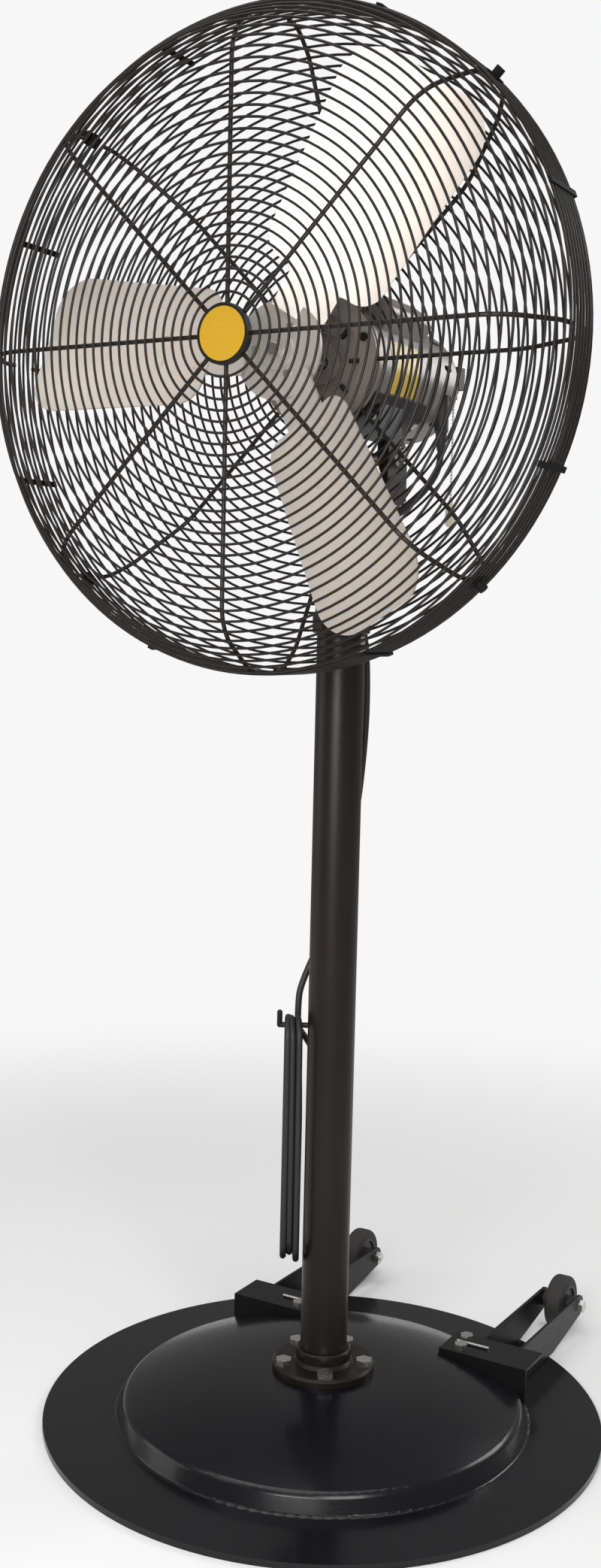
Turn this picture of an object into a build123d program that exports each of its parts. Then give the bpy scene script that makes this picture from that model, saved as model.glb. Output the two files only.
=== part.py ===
from build123d import *
import math
import os

os.makedirs("parts", exist_ok=True)

# Industrial pedestal fan. Sizes in millimetres, floor at zero height, front towards minus Y.

# Stand
base_radius = 360.0
base_wall = 4.0
brim_height = 8.0
dome_foot_radius = 267.0
shoulder_radius = 256.0
shoulder_height = 30.0
shoulder_blend = 12.0
brim_blend = 5.0
seat_radius = 68.0
seat_height = 64.0
flange_radius = 66.0
flange_thick = 10.0
flange_hub_radius = 35.5
flange_hub_height = 18.0
flange_bolt_circle = 54.5
flange_bolt_count = 5
flange_bolt_phase = -58.0
bolt_radius = 6.0
bolt_flats = 19.0
bolt_head = 7.5
washer_radius = 12.5
washer_thick = 2.5
column_radius = 30.15
column_wall = 3.9
column_top = 1036.0
column_seat = 4.0
collar_radius = 36.0
collar_height = 24.0
bushing_wall = 1.98
lower_bushing_height = 30.0
lower_bushing_drop = 136.0
set_bolt_radius = 3.0
set_bolt_flats = 10.0
set_bolt_head = 5.0
set_bolt_angle = -12.0
set_bolt_drops = (32.0, 44.0)

# Swivel stem and tilt joint
axis_height = 1332.0
pivot_drop = 106.0
stem_radius = 24.15
stem_wall = 4.0
stem_length = 290.0
stem_shoulder_radius = 33.0
stem_shoulder_height = 10.0
yoke_plate = 8.0
yoke_drop = 56.0
yoke_half_gap = 64.0
yoke_half_depth = 25.0
leg_half_outer = 61.0
leg_thick = 4.0
leg_half_depth = 30.0
pivot_bolt_radius = 6.0
friction_radius = 20.0
saddle_wall = 4.0
saddle_half_angle = 62.0
saddle_front = 45.0
saddle_back = -95.0

# Motor
motor_radius = 71.5
shell_wall = 2.5
bell_wall = 3.5
bell_blend = 8.0
shell_front = 30.0
shell_back = -100.0
bell_front = 62.0
bell_back = -172.0
bearing_radius = 20.0
bearing_length = 14.0
shaft_radius = 7.94
shaft_front = 178.0
shaft_back = -164.0
stator_front = -15.0
stator_back = -75.0
stator_bore = 40.0
rotor_radius = 39.5
winding_inner = 42.0
winding_outer = 55.0
winding_length = 18.0
through_bolt_circle = 60.0
through_bolt_radius = 2.5
cover_angle = 55.0
cover_width = 48.0
cover_rise = 26.0
cover_front = 25.0
cover_back = -85.0
cover_wall = 2.0
label_front = 20.0
label_back = -55.0
label_top_angle = 25.0
label_bottom_angle = -26.0
label_thick = 0.5
switch_x = 58.0
switch_width = 22.0
switch_height = 28.0
switch_bottom = -2.0
switch_neck = 12.0
chain_bead = 1.6
chain_pitch = 4.2
chain_beads = 35
chain_bore = 2.2
pull_radius = 6.5
pull_length = 36.0
gland_x = 62.0
gland_y = 140.0
gland_radius = 9.0
gland_body_drop = 60.0
gland_drop = 84.0

# Guard and badge
ring_wire = 1.5
spoke_wire = 2.5
weld_gap = 0.02
guard_radius = 367.5
ring_pitch = 12.0
rim_pitch = 9.0
rim_rings = 4
front_face = 278.0
front_inner = 45.0
front_corner = (322.0, 60.0)
front_rim_corner = (214.0, 40.0)
front_rim_end = 179.0
front_spoke_end = 192.0
rear_face = 64.54
rear_inner = 84.0
rear_corner = (262.0, 80.0)
rear_knee = (340.0, 108.0, 60.0)
rear_rim_corner = (138.0, 40.0)
rear_rim_end = 171.0
rear_spoke_end = 158.0
spoke_count = 8
mount_inner = 34.0
mount_outer = 78.0
mount_thick = 4.0
clamp_inner = 56.0
clamp_thick = 3.0
mount_screw_circle = 66.0
mount_screw_radius = 2.5
badge_radius = 33.0
badge_disc_radius = 29.0
badge_depth = 7.5
clip_width = 7.0
clip_thick = 1.5
knob_radius = 5.5
knob_height = 9.0

# Fan
hub_radius = 22.0
hub_back = 128.0
hub_front = 170.0
hub_flange_radius = 38.0
hub_flange_back = 159.0
hub_flange_thick = 4.0
spider_disc_radius = 56.0
spider_thick = 3.0
spider_arm_start = 40.0
spider_arm_end = 176.0
spider_arm_width = 64.0
blade_depth = 167.0
blade_pitch = 20.0
blade_camber = 500.0
blade_thick = 2.2
blade_root = 88.0
blade_tip = 332.0
blade_root_half = 72.0
blade_tip_half = 92.0
blade_root_blend = 28.0
blade_tip_blend = 45.0
blade_angles = (176.0, 56.0, -64.0)
rivet_radius = 3.0
rivet_head_radius = 6.0
rivet_head = 1.6
rivet_places = ((104.0, -20.0), (104.0, 20.0), (158.0, -20.0), (158.0, 20.0))

# Wheels
wheel_x = 167.0
wheel_y = 417.0
wheel_z = 41.0
wheel_radius = 38.0
tyre_width = 26.0
wheel_hub_radius = 25.0
fork_half_gap = 25.0
fork_plate = 4.0
hub_end_play = 0.4
axle_radius = 5.0
axle_flats = 16.0
axle_head = 7.0
bracket_x = (100.0, 225.0)
bracket_y = (140.0, 200.0)
bracket_top = 60.0
bracket_plate = 4.0
arm_end_radius = 15.0
foot_bolts = ((126.0, 154.0), (121.0, 184.0))
foot_half = 13.0
boss_radius = 11.0
boss_bottom = 28.0
trim_bar_radius = 2.2
trim_bar_length = 46.0

# Power cord
cord_radius = 4.2
clip_y = 31.2
clip_bottom = 1070.0
clip_height = 12.0
hook_height = 514.7
hook_radius = 3.5
hook_reach = 66.0
hank_reach = 47.0
hank_depth = 25.0
hank_width = 56.0
hank_strand = 8.5
hank_top = 527.0
hank_length = 322.0
plug_radius = 14.0
plug_length = 46.0

pivot_height = axis_height - pivot_drop
column_bottom = seat_height + column_seat
column_bore = column_radius - column_wall
stem_top = pivot_height - yoke_drop
stem_bottom = stem_top - stem_length
saddle_inner = motor_radius + 0.1
crown_reach = shoulder_radius - seat_radius
crown_drop = seat_height - shoulder_height
crown_arc = (crown_reach ** 2 + crown_drop ** 2) / (2 * crown_drop)

fan_plane = Plane(origin=(0, 0, axis_height), x_dir=(0, 0, 1), z_dir=(1, 0, 0))
fan_axis = Axis((0, 0, axis_height), (0, 1, 0))
wheel_plane = Plane(origin=(0, wheel_y, wheel_z), x_dir=(0, 0, 1), z_dir=(0, 1, 0))
wheel_axis = Axis((0, wheel_y, wheel_z), (1, 0, 0))


# A plane across the fan axis, depth counted forwards from the pole
def at_depth(depth):
    return Plane(origin=(0, -depth, axis_height), x_dir=(1, 0, 0), z_dir=(0, -1, 0))


# A point given by its angle, radius and depth about the fan axis
def fan_point(angle, radius, depth):
    turn = math.radians(angle)
    return (radius * math.cos(turn), -depth, axis_height + radius * math.sin(turn))


# The direction that points outwards from the fan axis at an angle
def fan_outward(angle):
    turn = math.radians(angle)
    return (math.cos(turn), 0, math.sin(turn))


def rod(start, direction, radius, length):
    with BuildPart() as piece:
        with BuildSketch(Plane(origin=start, z_dir=direction)):
            Circle(radius)
        extrude(amount=length)
    return piece.part


def hex_bar(start, direction, flats, length):
    with BuildPart() as piece:
        with BuildSketch(Plane(origin=start, z_dir=direction)):
            RegularPolygon(radius=flats / 2, side_count=6, major_radius=False)
        extrude(amount=length)
    return piece.part


# The head sits behind the start point and the shank runs along the direction
def bolt(start, direction, radius, length, flats, head):
    backwards = tuple(-value for value in direction)
    with BuildPart() as piece:
        add(rod(start, direction, radius, length))
        add(hex_bar(start, backwards, flats, head))
    return piece.part


def ring(start, direction, outer, inner, length):
    with BuildPart() as piece:
        with BuildSketch(Plane(origin=start, z_dir=direction)):
            Circle(outer)
            Circle(inner, mode=Mode.SUBTRACT)
        extrude(amount=length)
    return piece.part


# Outline points are radius and height
def turned_about_pole(outline):
    with BuildPart() as piece:
        with BuildSketch(Plane.XZ):
            with BuildLine():
                Polyline(*outline, close=True)
            make_face()
        revolve(axis=Axis.Z)
    return piece.part


# Outline points are radius and depth
def turned_about_fan(outline, blends=()):
    with BuildPart() as piece:
        with BuildSketch(fan_plane) as face:
            with BuildLine():
                Polyline(*outline, close=True)
            make_face()
            for place, size in blends:
                fillet(face.vertices().sort_by_distance(place)[0], radius=size)
        revolve(axis=fan_axis)
    return piece.part


# Outline points are radius and distance along the axle
def turned_about_axle(outline, blends=()):
    with BuildPart() as piece:
        with BuildSketch(wheel_plane) as face:
            with BuildLine():
                Polyline(*outline, close=True)
            make_face()
            for place, size in blends:
                fillet(face.vertices().sort_by_distance(place)[0], radius=size)
        revolve(axis=wheel_axis)
    return piece.part


def crown_height(radius, sink=0.0):
    reach = radius - seat_radius
    return seat_height - crown_arc + math.sqrt((crown_arc - sink) ** 2 - reach ** 2)


# The solid under the outer face of the base, raised by the lift
def dome_solid(lift):
    middle = (seat_radius + shoulder_radius) / 2
    with BuildPart() as piece:
        with BuildSketch(Plane.XZ) as face:
            with BuildLine():
                Polyline((0, 0), (0, seat_height + lift), (seat_radius, seat_height + lift))
                ThreePointArc(
                    (seat_radius, seat_height + lift),
                    (middle, crown_height(middle) + lift),
                    (shoulder_radius, shoulder_height + lift),
                )
                Polyline(
                    (shoulder_radius, shoulder_height + lift),
                    (dome_foot_radius, brim_height + lift),
                    (base_radius, brim_height + lift),
                    (base_radius, 0),
                    (0, 0),
                )
            make_face()
            shoulder = face.vertices().sort_by_distance((shoulder_radius, shoulder_height + lift))[0]
            fillet(shoulder, radius=shoulder_blend)
            foot = face.vertices().sort_by_distance((dome_foot_radius, brim_height + lift))[0]
            fillet(foot, radius=brim_blend)
        revolve(axis=Axis.Z)
    return piece.part


# A round boss under the base with a flat lower face for a nut
def under_boss(place):
    with BuildPart() as piece:
        add(dome_solid(-base_wall / 2))
        with BuildSketch(Plane.XY.offset(boss_bottom)):
            with Locations(place):
                Circle(boss_radius)
        extrude(amount=seat_height, mode=Mode.INTERSECT)
    return piece.part


def both_sides(places):
    return [(side * place[0], place[1]) for side in (1, -1) for place in places]


with BuildPart() as base:
    add(dome_solid(0.0))
    inner_shoulder = shoulder_radius - base_wall / 2
    inner_middle = (seat_radius + inner_shoulder) / 2
    with BuildSketch(Plane.XZ):
        with BuildLine():
            Polyline((0, -1), (0, seat_height - base_wall), (seat_radius, seat_height - base_wall))
            ThreePointArc(
                (seat_radius, seat_height - base_wall),
                (inner_middle, crown_height(inner_middle, base_wall)),
                (inner_shoulder, crown_height(inner_shoulder, base_wall)),
            )
            Polyline(
                (inner_shoulder, crown_height(inner_shoulder, base_wall)),
                (dome_foot_radius - base_wall, brim_height - base_wall),
                (base_radius - base_wall, brim_height - base_wall),
                (base_radius - base_wall, -1),
                (0, -1),
            )
        make_face()
    revolve(axis=Axis.Z, mode=Mode.SUBTRACT)
    for boss_place in both_sides(foot_bolts):
        add(under_boss(boss_place))
    with BuildSketch(Plane.XY.offset(seat_height + 1)):
        with PolarLocations(flange_bolt_circle, flange_bolt_count, flange_bolt_phase):
            Circle(bolt_radius + 0.5)
    extrude(amount=-base_wall - 2, mode=Mode.SUBTRACT)
    with BuildSketch(Plane.XY.offset(seat_height + 1)):
        with Locations(*both_sides(foot_bolts)):
            Circle(axle_radius + 0.3)
    extrude(amount=-seat_height, mode=Mode.SUBTRACT)
base.part.label = "base"
export_step(base.part, "parts/base.step")

with BuildPart() as column_flange:
    flange_top = seat_height + flange_thick
    add(turned_about_pole([
        (0, seat_height),
        (flange_radius, seat_height),
        (flange_radius, flange_top - 3),
        (flange_radius - 3, flange_top),
        (flange_hub_radius + 4, flange_top),
        (flange_hub_radius, flange_top + 4),
        (flange_hub_radius, flange_top + flange_hub_height - 2),
        (flange_hub_radius - 2, flange_top + flange_hub_height),
        (column_radius + 0.02, flange_top + flange_hub_height),
        (column_radius + 0.02, column_bottom),
        (0, column_bottom),
    ]))
    with BuildSketch(Plane.XY.offset(seat_height)):
        with PolarLocations(flange_bolt_circle, flange_bolt_count, flange_bolt_phase):
            Circle(bolt_radius + 0.5)
    extrude(amount=flange_thick, mode=Mode.SUBTRACT)
column_flange.part.label = "column_flange"
export_step(column_flange.part, "parts/column_flange.step")

with BuildPart() as flange_bolts:
    for index in range(flange_bolt_count):
        turn = math.radians(flange_bolt_phase + index * 360 / flange_bolt_count)
        bolt_x = flange_bolt_circle * math.cos(turn)
        bolt_y = flange_bolt_circle * math.sin(turn)
        grip = flange_thick + base_wall
        add(bolt((bolt_x, bolt_y, seat_height + flange_thick), (0, 0, -1), bolt_radius, grip + 14,
                 bolt_flats, bolt_head))
        under = seat_height - base_wall
        add(rod((bolt_x, bolt_y, under), (0, 0, -1), washer_radius, washer_thick))
        add(hex_bar((bolt_x, bolt_y, under - washer_thick), (0, 0, -1), bolt_flats, bolt_head))
flange_bolts.part.label = "flange_bolts"
export_step(flange_bolts.part, "parts/flange_bolts.step")

set_turn = math.radians(set_bolt_angle)
set_outward = (math.cos(set_turn), math.sin(set_turn), 0)

with BuildPart() as column:
    add(ring((0, 0, column_bottom), (0, 0, 1), column_radius, column_bore, column_top - column_bottom))
    for drop in set_bolt_drops:
        add(rod((0, 0, column_top - drop), set_outward, set_bolt_radius + 0.05, column_radius + 5),
            mode=Mode.SUBTRACT)
column.part.label = "column"
export_step(column.part, "parts/column.step")

with BuildPart() as column_collar:
    add(turned_about_pole([
        (column_radius + 0.02, column_top - collar_height),
        (collar_radius - 1.5, column_top - collar_height),
        (collar_radius, column_top - collar_height + 1.5),
        (collar_radius, column_top - 1.5),
        (collar_radius - 1.5, column_top),
        (column_radius + 0.02, column_top),
    ]))
column_collar.part.label = "column_collar"
export_step(column_collar.part, "parts/column_collar.step")

with BuildPart() as set_bolts:
    for drop in set_bolt_drops:
        start = tuple(value * (column_radius + 0.2) for value in set_outward[:2])
        inwards = (-set_outward[0], -set_outward[1], 0)
        reach = column_radius + 0.2 - stem_radius - 0.3
        add(bolt((start[0], start[1], column_top - drop), inwards, set_bolt_radius, reach,
                 set_bolt_flats, set_bolt_head))
set_bolts.part.label = "set_bolts"
export_step(set_bolts.part, "parts/set_bolts.step")

with BuildPart() as stem_bushings:
    bushing_outer = column_bore - 0.03
    bushing_inner = bushing_outer - bushing_wall
    add(ring((0, 0, column_top - collar_height), (0, 0, 1), bushing_outer, bushing_inner, collar_height))
    add(ring((0, 0, column_top - lower_bushing_drop), (0, 0, 1), bushing_outer, bushing_inner,
             lower_bushing_height))
stem_bushings.part.label = "stem_bushings"
export_step(stem_bushings.part, "parts/stem_bushings.step")

with BuildPart() as swivel_stem:
    shoulder_bottom = column_top + 0.3
    add(turned_about_pole([
        (stem_radius - stem_wall, stem_bottom),
        (stem_radius, stem_bottom),
        (stem_radius, shoulder_bottom),
        (stem_shoulder_radius - 1, shoulder_bottom),
        (stem_shoulder_radius, shoulder_bottom + 1),
        (stem_shoulder_radius, shoulder_bottom + stem_shoulder_height - 1),
        (stem_shoulder_radius - 1, shoulder_bottom + stem_shoulder_height),
        (stem_radius, shoulder_bottom + stem_shoulder_height),
        (stem_radius, stem_top),
        (stem_radius - stem_wall, stem_top),
    ]))
swivel_stem.part.label = "swivel_stem"
export_step(swivel_stem.part, "parts/swivel_stem.step")

with BuildPart() as tilt_yoke:
    yoke_outer = yoke_half_gap + yoke_plate
    with BuildSketch(Plane.XY.offset(stem_top)):
        RectangleRounded(2 * yoke_outer, 2 * yoke_half_depth, 6)
    extrude(amount=yoke_plate)
    for side in (1, -1):
        inner_x = side * yoke_half_gap
        with BuildSketch(Plane(origin=(inner_x, 0, pivot_height), x_dir=(0, 1, 0), z_dir=(side, 0, 0))):
            Circle(yoke_half_depth)
        extrude(amount=yoke_plate)
        with BuildSketch(Plane.XY.offset(stem_top + yoke_plate / 2)):
            with Locations((side * (yoke_half_gap + yoke_plate / 2), 0)):
                Rectangle(yoke_plate, 2 * yoke_half_depth)
        extrude(amount=pivot_height - stem_top - yoke_plate / 2)
    add(rod((-yoke_outer - 1, 0, pivot_height), (1, 0, 0), pivot_bolt_radius + 0.25, 2 * yoke_outer + 2),
        mode=Mode.SUBTRACT)
tilt_yoke.part.label = "tilt_yoke"
export_step(tilt_yoke.part, "parts/tilt_yoke.step")

with BuildPart() as pivot_bolt:
    bolt_seat = yoke_half_gap + yoke_plate + washer_thick
    add(bolt((bolt_seat, 0, pivot_height), (-1, 0, 0), pivot_bolt_radius, 2 * bolt_seat + bolt_head + 3,
             bolt_flats, bolt_head))
    add(hex_bar((-bolt_seat, 0, pivot_height), (-1, 0, 0), bolt_flats, bolt_head))
    for side in (1, -1):
        add(rod((side * (bolt_seat - washer_thick), 0, pivot_height), (side, 0, 0), washer_radius,
                washer_thick))
pivot_bolt.part.label = "pivot_bolt"
export_step(pivot_bolt.part, "parts/pivot_bolt.step")

with BuildPart() as friction_washers:
    washer_length = yoke_half_gap - leg_half_outer - 0.6
    for side in (1, -1):
        add(ring((side * (leg_half_outer + 0.3), 0, pivot_height), (side, 0, 0), friction_radius,
                 pivot_bolt_radius + 0.1, washer_length))
friction_washers.part.label = "friction_washers"
export_step(friction_washers.part, "parts/friction_washers.step")

cradle_depths = (shell_front - 8, shell_back + 16)
cradle_angles = (-130.0, -50.0)


def sector(depth, length, outer, inner, middle_angle, half_angle):
    with BuildPart() as piece:
        with BuildSketch(at_depth(depth)):
            Circle(outer)
            Circle(inner, mode=Mode.SUBTRACT)
            first = math.radians(middle_angle - half_angle)
            last = math.radians(middle_angle + half_angle)
            centre = math.radians(middle_angle)
            far = 3 * outer
            with BuildLine():
                Polyline(
                    (0, 0),
                    (far * math.cos(first), far * math.sin(first)),
                    (far * math.cos(centre), far * math.sin(centre)),
                    (far * math.cos(last), far * math.sin(last)),
                    close=True,
                )
            make_face(mode=Mode.INTERSECT)
        extrude(amount=length)
    return piece.part


with BuildPart() as motor_cradle:
    saddle_outer = saddle_inner + saddle_wall
    add(sector(saddle_back, saddle_front - saddle_back, saddle_outer, saddle_inner, -90, saddle_half_angle))
    leg_middle = leg_half_outer - leg_thick / 2
    leg_top = axis_height - math.sqrt(saddle_outer ** 2 - leg_half_outer ** 2) + 0.2
    for side in (1, -1):
        with BuildSketch(Plane(origin=(side * (leg_half_outer - leg_thick), 0, pivot_height),
                               x_dir=(0, 1, 0), z_dir=(side, 0, 0))):
            Circle(friction_radius + 5)
        extrude(amount=leg_thick)
        with BuildSketch(Plane.XY.offset(pivot_height)):
            with Locations((side * leg_middle, 0)):
                Rectangle(leg_thick, 2 * friction_radius + 10)
        extrude(amount=leg_top - pivot_height)
        with BuildSketch(Plane.XY.offset(pivot_height + friction_radius + 8)):
            with Locations((side * leg_middle, 0)):
                Rectangle(leg_thick, 2 * leg_half_depth)
        extrude(amount=leg_top - pivot_height - friction_radius - 8)
        add(rod((side * (leg_half_outer + 1), 0, pivot_height), (-side, 0, 0), pivot_bolt_radius + 0.08,
                leg_thick + 2), mode=Mode.SUBTRACT)
    for depth in cradle_depths:
        for angle in cradle_angles:
            add(rod(fan_point(angle, saddle_inner - 2, depth), fan_outward(angle), 2.55, 12),
                mode=Mode.SUBTRACT)
motor_cradle.part.label = "motor_cradle"
export_step(motor_cradle.part, "parts/motor_cradle.step")

with BuildPart() as cradle_screws:
    for depth in cradle_depths:
        for angle in cradle_angles:
            outwards = fan_outward(angle)
            add(rod(fan_point(angle, motor_radius - shell_wall - 0.5, depth), outwards, 2.5,
                    saddle_wall + shell_wall + 1))
            add(rod(fan_point(angle, saddle_inner + saddle_wall, depth), outwards, 5, 3))
cradle_screws.part.label = "cradle_screws"
export_step(cradle_screws.part, "parts/cradle_screws.step")

with BuildPart() as motor_shell:
    add(turned_about_fan([
        (motor_radius - shell_wall, shell_back),
        (motor_radius, shell_back),
        (motor_radius, shell_front),
        (motor_radius - shell_wall, shell_front),
    ]))
    for depth in cradle_depths:
        for angle in cradle_angles:
            add(rod(fan_point(angle, motor_radius - 6, depth), fan_outward(angle), 2.55, 12),
                mode=Mode.SUBTRACT)
motor_shell.part.label = "motor_shell"
export_step(motor_shell.part, "parts/motor_shell.step")

bell_inner = motor_radius - bell_wall
bearing_seat = bearing_radius + 0.05

with BuildPart() as motor_front_bell:
    add(turned_about_fan([
        (shaft_radius + 1.06, bell_front - 1),
        (bearing_seat, bell_front - 1),
        (bearing_seat, bell_front - 2 - bearing_length),
        (bearing_seat + 5, bell_front - 2 - bearing_length),
        (bearing_seat + 5, bell_front - bell_wall),
        (bell_inner, bell_front - bell_wall),
        (bell_inner, shell_front),
        (motor_radius, shell_front),
        (motor_radius, bell_front),
        (bearing_seat + 5, bell_front),
        (bearing_seat + 5, bell_front + 4),
        (shaft_radius + 1.06, bell_front + 4),
    ], (((motor_radius, bell_front), bell_blend * 0.4),)))
    with BuildSketch(at_depth(bell_front - 8)):
        with PolarLocations(44, 8, 0):
            SlotOverall(14, 6)
        with PolarLocations(through_bolt_circle, 4, 45):
            Circle(through_bolt_radius + 0.1)
        with PolarLocations(mount_screw_circle, 4, 22.5):
            Circle(mount_screw_radius + 0.05)
    extrude(amount=12, mode=Mode.SUBTRACT)
motor_front_bell.part.label = "motor_front_bell"
export_step(motor_front_bell.part, "parts/motor_front_bell.step")

with BuildPart() as motor_rear_bell:
    add(turned_about_fan([
        (0, bell_back),
        (motor_radius, bell_back),
        (motor_radius, shell_back),
        (bell_inner, shell_back),
        (bell_inner, bell_back + bell_wall),
        (bearing_seat + 5, bell_back + bell_wall),
        (bearing_seat + 5, bell_back + 5 + bearing_length),
        (bearing_seat, bell_back + 5 + bearing_length),
        (bearing_seat, bell_back + 4),
        (0, bell_back + 4),
    ], (((motor_radius, bell_back), bell_blend),)))
    with BuildSketch(at_depth(bell_back - 1)):
        with PolarLocations(through_bolt_circle, 4, 45):
            Circle(through_bolt_radius + 0.1)
    extrude(amount=bell_wall + 3, mode=Mode.SUBTRACT)
    for index in range(12):
        vent_angle = 15 + 30 * index
        vent_place = fan_point(vent_angle, bell_inner - 4, bell_back + 32)
        with BuildSketch(Plane(origin=vent_place, x_dir=(0, -1, 0), z_dir=fan_outward(vent_angle))):
            SlotOverall(20, 8)
        extrude(amount=bell_wall + 8, mode=Mode.SUBTRACT)
motor_rear_bell.part.label = "motor_rear_bell"
export_step(motor_rear_bell.part, "parts/motor_rear_bell.step")

with BuildPart() as motor_through_bolts:
    for index in range(4):
        angle = 45 + 90 * index
        length = bell_front - bell_back
        add(bolt(fan_point(angle, through_bolt_circle, bell_front), (0, 1, 0), through_bolt_radius,
                 length + 6, 8, 3.5))
        add(hex_bar(fan_point(angle, through_bolt_circle, bell_back), (0, 1, 0), 8, 4))
motor_through_bolts.part.label = "motor_through_bolts"
export_step(motor_through_bolts.part, "parts/motor_through_bolts.step")

with BuildPart() as stator:
    with BuildSketch(at_depth(stator_back)):
        Circle(motor_radius - shell_wall - 0.05)
        Circle(stator_bore, mode=Mode.SUBTRACT)
        with PolarLocations(through_bolt_circle, 4, 45):
            Circle(through_bolt_radius + 0.7, mode=Mode.SUBTRACT)
    extrude(amount=stator_front - stator_back)
stator.part.label = "stator"
export_step(stator.part, "parts/stator.step")

with BuildPart() as windings:
    for depth in (stator_front, stator_back - winding_length):
        add(turned_about_fan([
            (winding_inner, depth),
            (winding_outer, depth),
            (winding_outer, depth + winding_length),
            (winding_inner, depth + winding_length),
        ]))
windings.part.label = "windings"
export_step(windings.part, "parts/windings.step")

with BuildPart() as rotor:
    add(turned_about_fan([
        (shaft_radius + 0.03, stator_back),
        (rotor_radius, stator_back),
        (rotor_radius, stator_front),
        (shaft_radius + 0.03, stator_front),
    ]))
rotor.part.label = "rotor"
export_step(rotor.part, "parts/rotor.step")

with BuildPart() as shaft:
    add(turned_about_fan([
        (0, shaft_back),
        (shaft_radius - 1, shaft_back),
        (shaft_radius, shaft_back + 1),
        (shaft_radius, shaft_front - 1),
        (shaft_radius - 1, shaft_front),
        (0, shaft_front),
    ]))
shaft.part.label = "shaft"
export_step(shaft.part, "parts/shaft.step")

with BuildPart() as motor_bearings:
    for depth in (bell_front - 1.5 - bearing_length, bell_back + 4.5):
        add(turned_about_fan([
            (shaft_radius + 0.06, depth),
            (bearing_radius, depth),
            (bearing_radius, depth + bearing_length),
            (shaft_radius + 0.06, depth + bearing_length),
        ]))
motor_bearings.part.label = "motor_bearings"
export_step(motor_bearings.part, "parts/motor_bearings.step")

cover_top = motor_radius + cover_rise


# A block with rounded outer corners that stands on the motor at the cover's angle
def cover_block(depth, length, width, top, blend):
    with BuildPart() as piece:
        with BuildSketch(at_depth(depth)) as face:
            with Locations(Location((0, 0), cover_angle - 90)):
                with Locations((0, top - cover_rise)):
                    Rectangle(width, 2 * cover_rise)
            corners = face.vertices().sort_by_distance((0, 0))[-2:]
            fillet(corners, radius=blend)
        extrude(amount=length)
    return piece.part


with BuildPart() as capacitor_cover:
    add(cover_block(cover_back, cover_front - cover_back, cover_width, cover_top, 12))
    add(cover_block(cover_back + cover_wall, cover_front - cover_back - 2 * cover_wall,
                    cover_width - 2 * cover_wall, cover_top - cover_wall, 10), mode=Mode.SUBTRACT)
    add(rod((0, -cover_back + 5, axis_height), (0, -1, 0), motor_radius + 0.1,
            cover_front - cover_back + 10), mode=Mode.SUBTRACT)
capacitor_cover.part.label = "capacitor_cover"
export_step(capacitor_cover.part, "parts/capacitor_cover.step")

with BuildPart() as capacitor:
    capacitor_gap = 0.3
    capacitor_width = cover_width - 2 * cover_wall - 2 * capacitor_gap
    add(cover_block(cover_back + cover_wall + capacitor_gap, 92, capacitor_width,
                    cover_top - cover_wall - capacitor_gap, 10))
    add(rod((0, -cover_back + 5, axis_height), (0, -1, 0), motor_radius + capacitor_gap,
            cover_front - cover_back + 10), mode=Mode.SUBTRACT)
capacitor.part.label = "capacitor"
export_step(capacitor.part, "parts/capacitor.step")

with BuildPart() as motor_label:
    label_middle = (label_top_angle + label_bottom_angle) / 2
    label_half = (label_top_angle - label_bottom_angle) / 2
    add(sector(label_back, label_front - label_back, motor_radius + 0.05 + label_thick,
               motor_radius + 0.05, label_middle, label_half))
motor_label.part.label = "motor_label"
export_step(motor_label.part, "parts/motor_label.step")

switch_y = -bell_back + switch_width / 2

with BuildPart() as pull_switch:
    with BuildSketch(Plane.XY.offset(axis_height + switch_bottom)):
        with Locations((switch_x, switch_y)):
            RectangleRounded(switch_width, switch_width, 3)
    extrude(amount=switch_height)
    add(rod((switch_x, switch_y, axis_height + switch_bottom), (0, 0, -1), 6, switch_neck * 0.35))
    add(rod((switch_x, switch_y, axis_height + switch_bottom), (0, 0, -1), 4.5, switch_neck))
    add(rod((switch_x, switch_y, axis_height + switch_bottom - switch_neck - 1), (0, 0, 1), chain_bore,
            switch_neck + 12), mode=Mode.SUBTRACT)
pull_switch.part.label = "pull_switch"
export_step(pull_switch.part, "parts/pull_switch.step")

chain_top = axis_height + switch_bottom + 4
chain_bottom = chain_top - (chain_beads - 1) * chain_pitch
chain_plane = Plane(origin=(switch_x, switch_y, 0), x_dir=(1, 0, 0), z_dir=(0, -1, 0))

with BuildPart() as pull_chain:
    with BuildSketch(chain_plane):
        with Locations(*[(0, chain_top - index * chain_pitch) for index in range(chain_beads)]):
            Circle(chain_bead)
        with Locations((0, (chain_top + chain_bottom) / 2)):
            Rectangle(1.0, chain_top - chain_bottom)
        with Locations((-5, (chain_top + chain_bottom) / 2)):
            Rectangle(10, chain_top - chain_bottom + 20, mode=Mode.SUBTRACT)
    revolve(axis=Axis((switch_x, switch_y, 0), (0, 0, 1)))
pull_chain.part.label = "pull_chain"
export_step(pull_chain.part, "parts/pull_chain.step")

with BuildPart() as chain_pull:
    pull_top = chain_bottom - chain_bead
    with BuildSketch(chain_plane):
        with BuildLine():
            Polyline((0, pull_top), (2.5, pull_top), (3.4, pull_top - 5),
                     (pull_radius, pull_top - 12), (pull_radius, pull_top - pull_length + 3),
                     (pull_radius - 3, pull_top - pull_length), (0, pull_top - pull_length), close=True)
        make_face()
    revolve(axis=Axis((switch_x, switch_y, 0), (0, 0, 1)))
chain_pull.part.label = "chain_pull"
export_step(chain_pull.part, "parts/chain_pull.step")

gland_end = axis_height - gland_drop

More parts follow.
